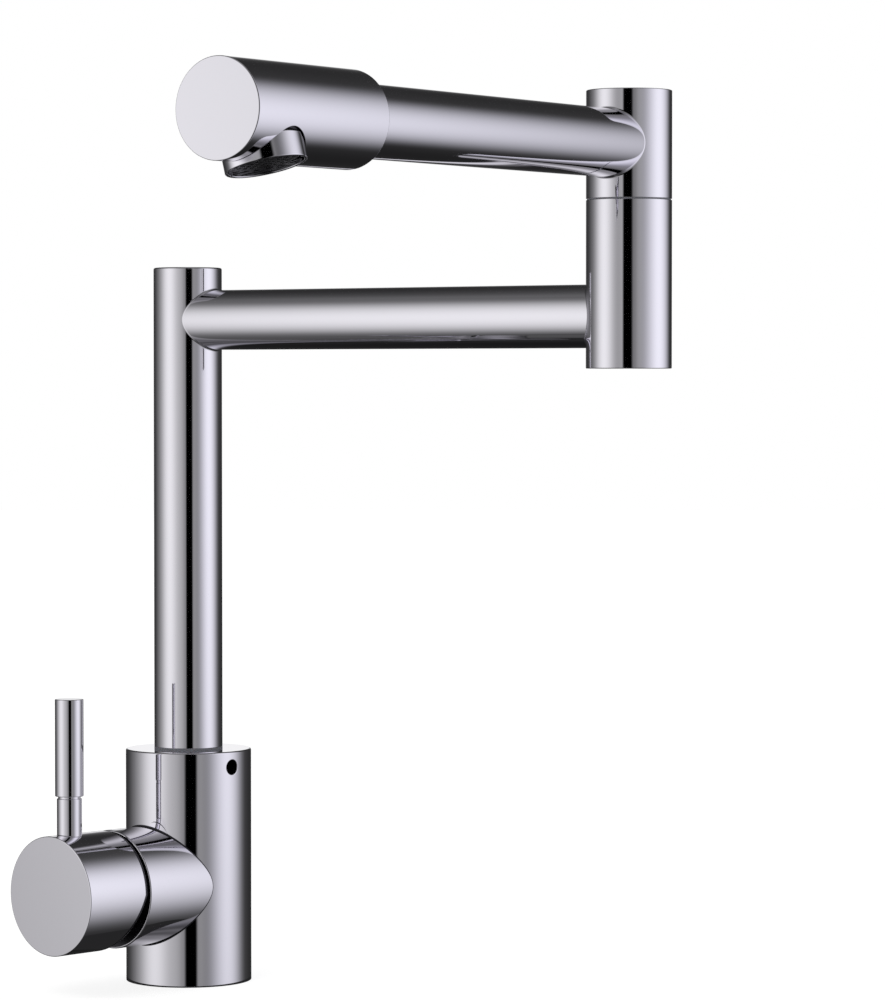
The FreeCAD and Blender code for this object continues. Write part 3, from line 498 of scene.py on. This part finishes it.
# Moulded nylon 66: mid grey, slightly waxy.
material("grey_nylon", "#6E6F75", metallic=0.0, roughness=(0.38, 0.52), patch=8 * MM,
         grain=0.5 * MM, depth=0.01 * MM, IOR=1.53, Subsurface_Weight=0.05,
         Subsurface_Scale=0.5 * MM)
# Moulded acetal of the cartridge: ivory white with the mould's satin.
material("cartridge_acetal", "#DAD8CF", metallic=0.0, roughness=(0.32, 0.45), patch=10 * MM,
         grain=0.6 * MM, depth=0.01 * MM, slot="cartridge_plastic", IOR=1.48)
# Lapped alumina: dense white ceramic with a fine grain and a water-smooth face.
material("lapped_alumina", "#F0EDE4", metallic=0.0, roughness=(0.08, 0.16), patch=4 * MM,
         grain=0.2 * MM, depth=0.002 * MM, slot="alumina_disc", IOR=1.76)
# Moulded ABS of the aerator: near black, matt with lime and water.
material("aerator_abs", "#19191B", metallic=0.0, roughness=(0.5, 0.62), patch=5 * MM,
         grain=0.4 * MM, depth=0.01 * MM, slot="aerator_plastic", IOR=1.54)
CHROME = FINISH["polished_chrome"], FINISH["unbuffed_shaded_chrome"]
BRASS = (FINISH["turned_brass"],)
# Imported pieces that are seen only at the bottom of a gap or a hole. The head core and the collar nut get the
# dark chrome there, which is painted shade; the screws are blackened steel.
SEEN_IN_GAPS = {"head_core": "unbuffed_shaded_chrome", "collar_nut": "unbuffed_shaded_chrome",
                "column_set_screw": "black_oxide_steel", "grub_screw": "black_oxide_steel"}
for row in frame["record"]["subparts"]:
    mesh = frame["nodes"][row["node"]].data
    mesh.materials.clear()
    mesh.materials.append(FINISH[SEEN_IN_GAPS.get(row["node"], row["material_slot"])])

# ---------------------------------------------------------------- body and boss
inner_groove, outer_groove, groove_depth = GASKET_GROOVE
screw_band = (SCREW.origin[2] - SCREW_BAND[0], BODY_TOP - SCREW_BAND[1])
socket_floor = BODY_TOP - SOCKET_DEPTH
body = turned(COLUMN, (SHANK_TOP, 0), (SHANK_TOP, SHANK_R), (0, SHANK_R), (0, inner_groove),
              (groove_depth, inner_groove), (groove_depth, outer_groove), (0, outer_groove),
              (0, BODY_R, SEAM_RIM), (BOSS_BAND[0], BODY_R))
body += drilled(COLUMN, BODY_R, *BOSS_BAND, BOSS, CHAMBER_R, BOSS_WINDOW, 0, CHAMBER_FLOOR)
body += turned(COLUMN, (BOSS_BAND[1], BODY_R), (screw_band[0], BODY_R))
*screw_wall, screw_side, screw_floor = drilled(
    BEHIND_SCREW, BODY_R, *screw_band, SCREW, SCREW_R, SCREW_WINDOW, RIM, SOCKET_R + SOCKET_WALL)
body += screw_wall
body += turned(COLUMN, (screw_band[1], BODY_R), (BODY_TOP, BODY_R, BODY_RIM),
               (BODY_TOP, SOCKET_R), (socket_floor, SOCKET_R), (socket_floor, 0))
# The side and floor of the set screw's hole get the dark chrome, painted shade in the hole.
piece("body_shell", "base", "polished_chrome", CHROME, body, "valve_body",
      dull_shaded=[screw_side, screw_floor])

boss_bead, boss_start, on_body = weld(BOSS, BOSS_R, COLUMN, BODY_R, BOSS_BEAD)
collar_bore = COLLAR_R + CLEARANCE
bore_start = meets(BOSS, CHAMBER_R, ROUND, COLUMN, BODY_R)
boss_brim = BOSS_R - BOSS_RIM
boss = turned(BOSS, (boss_start, BOSS_R), (BOSS_FACE, BOSS_R, BOSS_RIM), (BOSS_FACE, boss_brim))
bore = turned(BOSS, (BOSS_FACE, boss_brim), (BOSS_FACE, collar_bore, FINE_RIM),
              (COLLAR_SEAT, collar_bore), (COLLAR_SEAT, CHAMBER_R), (bore_start, CHAMBER_R))
boss_back = saddle(COLUMN, BODY_R, on_body, BOSS.at(bore_start, CHAMBER_R, ROUND), -1)
# The boss's bore, its back inside the body and its brazing bead get the dark chrome: painted shade in the bore and
# in the crease where the boss meets the body.
piece("lever_boss_shell", "base", "polished_chrome", CHROME, boss, "lever_boss",
      dull_shaded=[*bore, boss_bead, boss_back])


# ---------------------------------------------------------------- column, arms and elbow
def arm(line, r, start, end=None, rim=0):
    """Tube brazed between two round posts, start and end, with a bead at each, or from one post
    to a square cut at rim. A post is its line and radius."""
    def foot(post, side):
        """Bead on a post and the tube's closed end inside it, and where the plain tube starts."""
        bead, plain, edge = weld(line, r, *post, ARM_BEAD, side)
        centre = line.at(np.full(ROUND.shape, meets(line, 0, 0.0, *post, side)), 0, ROUND)
        return [bead, saddle(*post, edge, centre, -1)], plain

    near, near_plain = foot(start, 1)
    if end is None:
        return near + turned(line, (near_plain, r), (rim, r, FINE_RIM), (rim, 0))
    far, far_plain = foot(end, -1)
    return near + turned(line, (near_plain, r), (far_plain, r)) + far


column = turned(COLUMN, (COLUMN_TOP - PLUG, 0), (COLUMN_TOP - PLUG, COLUMN_R - TUBE_WALL),
                (COLUMN_FOOT, COLUMN_R - TUBE_WALL), (COLUMN_FOOT, COLUMN_R, SEAM_RIM),
                (COLUMN_TOP, COLUMN_R, COLUMN_RIM), (COLUMN_TOP, 0))
piece("column_shell", "column", "polished_chrome", CHROME, column, "column_tube", "column_plug")
piece("lower_arm_shell", "column", "polished_chrome", CHROME,
      arm(LOWER, LOWER_R, (COLUMN, COLUMN_R), (ELBOW, ELBOW_R)), "lower_arm")

post_bore = ELBOW_R - POST_WALL
lower_post = turned(ELBOW, (ELBOW_BOTTOM, 0), (ELBOW_BOTTOM, ELBOW_R, RIM),
                    (SEAM_LOW, ELBOW_R, SEAM_RIM), (SEAM_LOW, POST_BEARING_R, FINE_RIM),
                    (SEAM_LOW - POST_BEARING, POST_BEARING_R), (SEAM_LOW - POST_BEARING, post_bore),
                    (ELBOW_BOTTOM + PLUG, post_bore), (ELBOW_BOTTOM + PLUG, 0))
piece("lower_elbow_shell", "column", "polished_chrome", CHROME, lower_post,
      "elbow_post", "elbow_plug")
upper_post = turned(ELBOW, (ELBOW_TOP - PLUG, 0), (ELBOW_TOP - PLUG, post_bore),
                    (SEAM_HIGH + SPIGOT_IN_POST, post_bore),
                    (SEAM_HIGH + SPIGOT_IN_POST, POST_BEARING_R), (SEAM_HIGH, POST_BEARING_R),
                    (SEAM_HIGH, ELBOW_R, SEAM_RIM), (ELBOW_TOP, ELBOW_R, RIM), (ELBOW_TOP, 0))
piece("upper_elbow_shell", "spout", "polished_chrome", CHROME, upper_post,
      "upper_post", "upper_plug")
piece("upper_arm_shell", "spout", "polished_chrome", CHROME,
      arm(UPPER, UPPER_R, (ELBOW, ELBOW_R), rim=ARM_END), "upper_arm")

# ---------------------------------------------------------------- outlet head
head_bore = span("head_rear_ring", UPPER)[2]
outlet_band = (OUTLET_S - OUTLET_BAND, OUTLET_S + OUTLET_BAND)
rear_brim = HEAD_R - 2 * RIM
inside = turned(HEAD, (FACE - FACE_WALL, 0), (FACE - FACE_WALL, head_bore),
                (outlet_band[1], head_bore))
inside += pierced(HEAD, head_bore, *outlet_band, OUTLET, OUTLET_HOLE_R, OUTLET_WINDOW, -1)
inside += turned(HEAD, (outlet_band[0], head_bore), (HEAD_REAR, head_bore, FINE_RIM),
                 (HEAD_REAR, rear_brim))
sleeve = turned(HEAD, (HEAD_REAR, rear_brim), (HEAD_REAR, HEAD_R, RIM), (outlet_band[0], HEAD_R))
*outlet_wall, outlet_side = drilled(HEAD, HEAD_R, *outlet_band, OUTLET, OUTLET_HOLE_R,
                                    OUTLET_WINDOW, FINE_RIM, inner=head_bore)
sleeve += outlet_wall + turned(HEAD, (outlet_band[1], HEAD_R), (FACE, HEAD_R, RIM), (FACE, 0))
# The head's inside and the outlet hole's side get the dark chrome, painted shade inside the head.
piece("head_shell_outer", "head", "polished_chrome", CHROME, sleeve, "head_shell",
      dull_shaded=[*inside, outlet_side])

cup_shoulder = CUP_FOOT + CUP_THREAD
cup_inner = INSERT_R + CLEARANCE
cup = turned(OUTLET, (CUP_FOOT, CUP_BORE_R), (CUP_FOOT, CUP_THREAD_R),
             (cup_shoulder, CUP_THREAD_R), (cup_shoulder, CUP_R, RIM), (CUP_RIM, CUP_R, RIM),
             (CUP_RIM, cup_inner, RIM), (INSERT_FOOT, cup_inner), (INSERT_FOOT, CUP_BORE_R),
             (CUP_FOOT, CUP_BORE_R))
piece("aerator_cup_shell", "head", "polished_chrome", CHROME, cup, "aerator_cup")

# ---------------------------------------------------------------- lever handle
def rim_at(r):
    """The cap's rear rim: square above the pivot, sloping back by the lift's angle below it."""
    return PIVOT + np.maximum(0, -r * np.cos(ROUND)) * tan(LIFT)


grub_s = GRUB.origin @ BOSS.along
grub_band = (grub_s - GRUB_BAND, grub_s + GRUB_BAND)
inner_face = CAP_FACE - CAP_FACE_WALL
cap_bore = CAP_R - CAP_WALL
cap_brim = rim_at(CAP_R) + BUFFED_UNSHADED_FROM * CAP_REAR_RIM
hollow = turned(BOSS, (inner_face - HUB_LENGTH, 0), (inner_face - HUB_LENGTH, HUB_R, FINE_RIM),
                (inner_face, HUB_R), (inner_face, cap_bore),
                (rim_at(cap_bore), cap_bore, FINE_RIM), (rim_at(CAP_R), CAP_R, CAP_REAR_RIM),
                (cap_brim, CAP_R))
cap = turned(BOSS, (cap_brim, CAP_R), (grub_band[0], CAP_R))
cap += drilled(BELOW_CAP, CAP_R, *grub_band, GRUB, GRUB_R, GRUB_WINDOW, FINE_RIM,
               GRUB_HEAD - GRUB_DEPTH)
cap += turned(BOSS, (grub_band[1], CAP_R), (CAP_FACE, CAP_R, RIM), (CAP_FACE, 0))
# The cap's hollow, its relieved rear rim and a narrow band outside it get the dark chrome: painted shade of the
# gap at the boss.
piece("handle_cap_shell", "handle", "polished_chrome", CHROME, cap, "handle_cap", dull_shaded=hollow)

neck_bead, neck_start, on_cap = weld(LEVER, NECK_R, BOSS, CAP_R, NECK_BEAD)
neck_top = GRIP_FOOT - GRIP_GROOVE
cap_top = LEVER.at(np.full(ROUND.shape, meets(LEVER, 0, 0.0, BOSS, CAP_R)), 0, ROUND)
neck = turned(LEVER, (neck_start, NECK_R), (neck_top, NECK_R, RIM), (neck_top, GRIP_WAIST),
              (GRIP_FOOT, GRIP_WAIST), (GRIP_FOOT, 0))
neck += [neck_bead, saddle(BOSS, CAP_R, on_cap, cap_top, -1)]
piece("lever_neck_shell", "handle", "polished_chrome", CHROME, neck, "lever_neck")
grip = turned(LEVER, (GRIP_FOOT, 0), (GRIP_FOOT, GRIP_R, RIM), (GRIP_TOP, GRIP_R, RIM),
              (GRIP_TOP, 0))
piece("lever_grip_shell", "handle", "polished_chrome", CHROME, grip, "lever_grip")

# ---------------------------------------------------------------- mounting
def threaded(A, S):
    """Shank's side: r falls from the crest by the depth and back in each turn of the thread.

    The depth fades to nothing near the shank's top, and its foot is cut off at a slant."""
    phase = (S / THREAD_PITCH - A / (2 * pi)) % 1
    runout = np.clip((SHANK_TOP - THREAD_END - S) / THREAD_RUNOUT, 0, 1)
    lead = np.clip((S - SHANK_FOOT) / THREAD_DEPTH, 0, 1)
    r = SHANK_R - THREAD_DEPTH * runout * np.abs(2 * phase - 1)
    return COLUMN.at(S, np.minimum(r, SHANK_R - THREAD_DEPTH * (1 - lead)), A)


turns = (SHANK_TOP - SHANK_FOOT) / THREAD_PITCH
shank_round = np.linspace(0, 2 * pi, THREAD_STEPS + 1)
thread_rows = np.linspace(SHANK_FOOT, SHANK_TOP, int(THREAD_ROWS * turns))
shank = [surface(threaded, shank_round, thread_rows, COLUMN.across)]
shank += turned(COLUMN, (SHANK_TOP, SHANK_R), (SHANK_TOP, SHANK_BORE_R),
                (SHANK_FOOT, SHANK_BORE_R), (SHANK_FOOT, SHANK_R - THREAD_DEPTH),
                angles=shank_round)
piece("mounting_shank_threaded", "base", "turned_brass", BRASS, shank, "mounting_shank")

# ---------------------------------------------------------------- camera
# Its place, its direction and its focal length are fitted to the photograph's outlines.
CAMERA_PLACE = (-1.18938, -1.24027, 0.2488)
CAMERA_LOOKS = (0.734469, 0.677986, -0.029841)
FOCAL_LENGTH, FRAME_ROWS = 4173.85, 1000    # in pixels of the photograph's frame
SENSOR = 36                                 # millimetres for the frame's height

scene = bpy.context.scene
scene.view_settings.view_transform = "Standard"
camera = bpy.data.objects.new("camera", bpy.data.cameras.new("camera"))
scene.collection.objects.link(camera)
camera.location = CAMERA_PLACE
camera.rotation_euler = Vector(CAMERA_LOOKS).to_track_quat("-Z", "Y").to_euler()
camera.data.sensor_fit = "VERTICAL"
camera.data.sensor_height = SENSOR
camera.data.lens = SENSOR * FOCAL_LENGTH / FRAME_ROWS
scene.camera = camera

# ---------------------------------------------------------------- studio
# The chrome mirrors the studio, so the studio is what gives it its bands: a softbox to each
# side, a black flag in front, dim walls between them, and the white paper behind.
# Bearings are in degrees from the camera's side, positive to the camera's right.
CAMERA_SIDE = degrees(np.arctan2(CAMERA_PLACE[1], CAMERA_PLACE[0]))
REFLECTS = 0.9             # chrome's share, so that a light's level is what the metal shows
BOUNCE = 0.75              # level of the paper for matt surfaces
WALLS = (                  # bearing, width, level: where the walls catch the lamps
    (-110, 30, 0.18),
    (-22, 26, 0.29),
    (20, 20, 0.19),
    (82, 43, 0.18),
)
FALL = 70                  # height over which the walls fade
FARTHER = (                # bearing, height, width, level: the paper behind, the ceiling
    (180, 6, 8, 0.85),
    (0, 90, 28, 0.25),
)
SIDES = 64                 # of the can and the floor
CAN_R, CAN_ENDS = 31 * MM, (SHANK_FOOT - 2 * MM, -0.2 * MM)
FLOOR_R = 6.0


def bearing(angle, distance=1.0, height=0.0):
    """The point on this bearing."""
    heading = radians(CAMERA_SIDE + angle)
    return (distance * np.cos(heading), distance * np.sin(heading), height)


def glow(toward, peak, width):
    """(1 + (turn / width)^2)^-2 between the directions toward and peak, with 2 (1 - cos turn)
    standing for the square of the turn."""
    cosine = add(tree, "ShaderNodeVectorMath", [toward, peak], operation="DOT_PRODUCT")
    steep = 2 / radians(width) ** 2
    square = add(tree, "ShaderNodeMath", [cosine.outputs["Value"], -steep, 1 + steep],
                 operation="MULTIPLY_ADD")
    return add(tree, "ShaderNodeMath", [square, -2.0], operation="POWER")


world = bpy.data.worlds.new("studio")
scene.world = world
world.use_nodes = True
tree = world.node_tree
tree.nodes.clear()
direction = add(tree, "ShaderNodeTexCoord").outputs["Generated"]
flat = add(tree, "ShaderNodeVectorMath", [direction, (1, 1, 0)], operation="MULTIPLY")
level = add(tree, "ShaderNodeVectorMath", [flat], operation="NORMALIZE")
# The walls fade with height by the same curve as a glow does with its turn.
rise = add(tree, "ShaderNodeSeparateXYZ", [direction]).outputs["Z"]
height = add(tree, "ShaderNodeMath", [rise], operation="ARCSINE")
share = add(tree, "ShaderNodeMath", [height, 1 / radians(FALL)], operation="MULTIPLY")
square = add(tree, "ShaderNodeMath", [share, share, 1.0], operation="MULTIPLY_ADD")
fade = add(tree, "ShaderNodeMath", [square, -2.0], operation="POWER")
total = 0.0
for angle, width, strength in WALLS:
    lobe = glow(level, bearing(angle), width)
    total = add(tree, "ShaderNodeMath", [lobe, strength / REFLECTS, total],
                operation="MULTIPLY_ADD")
total = add(tree, "ShaderNodeMath", [total, fade], operation="MULTIPLY")
for angle, up, width, strength in FARTHER:
    peak = bearing(angle, np.cos(radians(up)), np.sin(radians(up)))
    lobe = glow(direction, peak, width)
    total = add(tree, "ShaderNodeMath", [lobe, strength / REFLECTS, total],
                operation="MULTIPLY_ADD")
path = add(tree, "ShaderNodeLightPath").outputs
plain = add(tree, "ShaderNodeMix", {"Factor": path["Is Diffuse Ray"], "A": (1.0,) * 4,
                                    "B": (BOUNCE,) * 4}, data_type="RGBA")
seen = add(tree, "ShaderNodeMix", {"Factor": path["Is Glossy Ray"], "A": plain.outputs["Result"],
                                   "B": total}, data_type="RGBA")
background = add(tree, "ShaderNodeBackground", {"Color": seen.outputs["Result"], "Strength": 1.0})
add(tree, "ShaderNodeOutputWorld", [background])


def staged(name, corners, faces, look, *hidden):
    """Stage piece with this look and these flat faces, hidden from the named kinds of ray."""
    mesh = bpy.data.meshes.new(name)
    mesh.from_pydata(corners, [], faces)
    mesh.materials.append(look)
    made = bpy.data.objects.new(name, mesh)
    scene.collection.objects.link(made)
    for ray in hidden:
        setattr(made, "visible_" + ray, False)


def bare(name):
    """New material without nodes."""
    made = bpy.data.materials.new(name)
    made.use_nodes = True
    made.node_tree.nodes.clear()
    return made


def card(name, corners, centre, size, softness=0.0, colour=None, strength=0.0,
         faces=((0, 1, 2, 3),)):
    """Card seen only by the metal.

    With a colour it adds light, most at its centre, by a bell curve with size as its spread.
    Without, its front hides what is behind it out to size, with a plain grey or black, and its
    edge fades over the softness."""
    look = bare(name)
    tree = look.node_tree
    place = add(tree, "ShaderNodeTexCoord").outputs["Object"]
    offset = add(tree, "ShaderNodeVectorMath", [place, centre], operation="SUBTRACT")
    scaled = add(tree, "ShaderNodeVectorMath", [offset, size], operation="DIVIDE")
    far = add(tree, "ShaderNodeVectorMath", [scaled], operation="LENGTH").outputs["Value"]
    clear = add(tree, "ShaderNodeBsdfTransparent")
    if colour:
        square = add(tree, "ShaderNodeMath", [far, far], operation="MULTIPLY")
        power = add(tree, "ShaderNodeMath", [square, -0.5], operation="MULTIPLY")
        bell = add(tree, "ShaderNodeMath", [power], operation="EXPONENT")
        glare = add(tree, "ShaderNodeMath", [bell, strength / REFLECTS], operation="MULTIPLY")
        light = add(tree, "ShaderNodeEmission", {"Color": linear(colour), "Strength": glare})
        result = add(tree, "ShaderNodeAddShader", [clear, light])
    else:
        share = add(tree, "ShaderNodeMapRange", {
            "Value": far, "From Min": 1 - softness, "From Max": 1 + softness, "To Min": 1.0,
            "To Max": 0.0}, interpolation_type="SMOOTHERSTEP")
        back = add(tree, "ShaderNodeNewGeometry").outputs["Backfacing"]
        front = add(tree, "ShaderNodeMath", [1.0, back], operation="SUBTRACT")
        cover = add(tree, "ShaderNodeMath", [share, front], operation="MULTIPLY")
        paint = add(tree, "ShaderNodeEmission", {"Strength": strength})
        result = add(tree, "ShaderNodeMixShader", [cover, clear, paint])
    add(tree, "ShaderNodeOutputMaterial", [result])
    staged(name, corners, faces, look, "camera", "diffuse", "transmission", "shadow")


def upright(name, angle, distance, width, low, high, height, size, **look):
    """Upright card that faces the object from this bearing, with its middle at this height."""
    near = np.array(bearing(angle, distance))
    across = np.cross(unit(near), Z) * width / 2
    corners = [tuple(near + side * across + Z * z) for side, z in
               ((-1, low), (1, low), (1, high), (-1, high))]
    card(name, corners, bearing(angle, distance, height), size, **look)


upright("front_flag", 4, 0.785, width=0.42, low=-0.5, high=1.3, height=0.3,
        size=(0.15, 0.15, 9.0), softness=0.32)
upright("left_softbox", -65.3, 1.08, width=2.6, low=-1.4, high=2.2, height=0.27,
        size=(0.455, 0.455, 0.78), colour="#FFFFFF", strength=0.755)
upright("right_softbox", 72.3, 0.73, width=1.9, low=-1.0, high=1.6, height=0.29,
        size=(0.324, 0.324, 0.49), colour="#F6F6FF", strength=0.72)
around = np.linspace(0, 2 * pi, SIDES + 1)[:-1]
# A dark can, open below, stands for the worktop round the parts that are under it: from
# outside the metal mirrors the can, and the parts inside still mirror the studio.
can = [(CAN_R * np.cos(a), CAN_R * np.sin(a), z) for z in CAN_ENDS for a in around]
card("dark_can", can, centre=(0, 0, 0), size=(1.0, 1.0, 1.0), softness=0.1, strength=0.02,
     faces=[range(SIDES, 2 * SIDES), *((i, (i + 1) % SIDES, SIDES + (i + 1) % SIDES, SIDES + i)
                                       for i in range(SIDES))])

# The floor gives most of its white itself. The rest is lit, so that it keeps a faint shadow.
floor = bare("floor")
tree = floor.node_tree
paint = add(tree, "ShaderNodeBsdfDiffuse", {"Color": linear("#9A9A9A")})
white = add(tree, "ShaderNodeEmission", {"Color": (1, 1, 1, 1), "Strength": 0.8})
add(tree, "ShaderNodeOutputMaterial", [add(tree, "ShaderNodeAddShader", [paint, white])])
staged("floor", [(FLOOR_R * np.cos(a), FLOOR_R * np.sin(a), 0) for a in around],
       [range(SIDES)], floor, "glossy")

lamp = bpy.data.lights.new("key", "AREA")
lamp.shape = "DISK"
lamp.size = 1.2
lamp.energy = 12
key = bpy.data.objects.new("key", lamp)
scene.collection.objects.link(key)
key.location = bearing(-40, 1.6, height=1.9)
key.rotation_euler = (-key.location).to_track_quat("-Z", "Y").to_euler()
key.visible_glossy = False
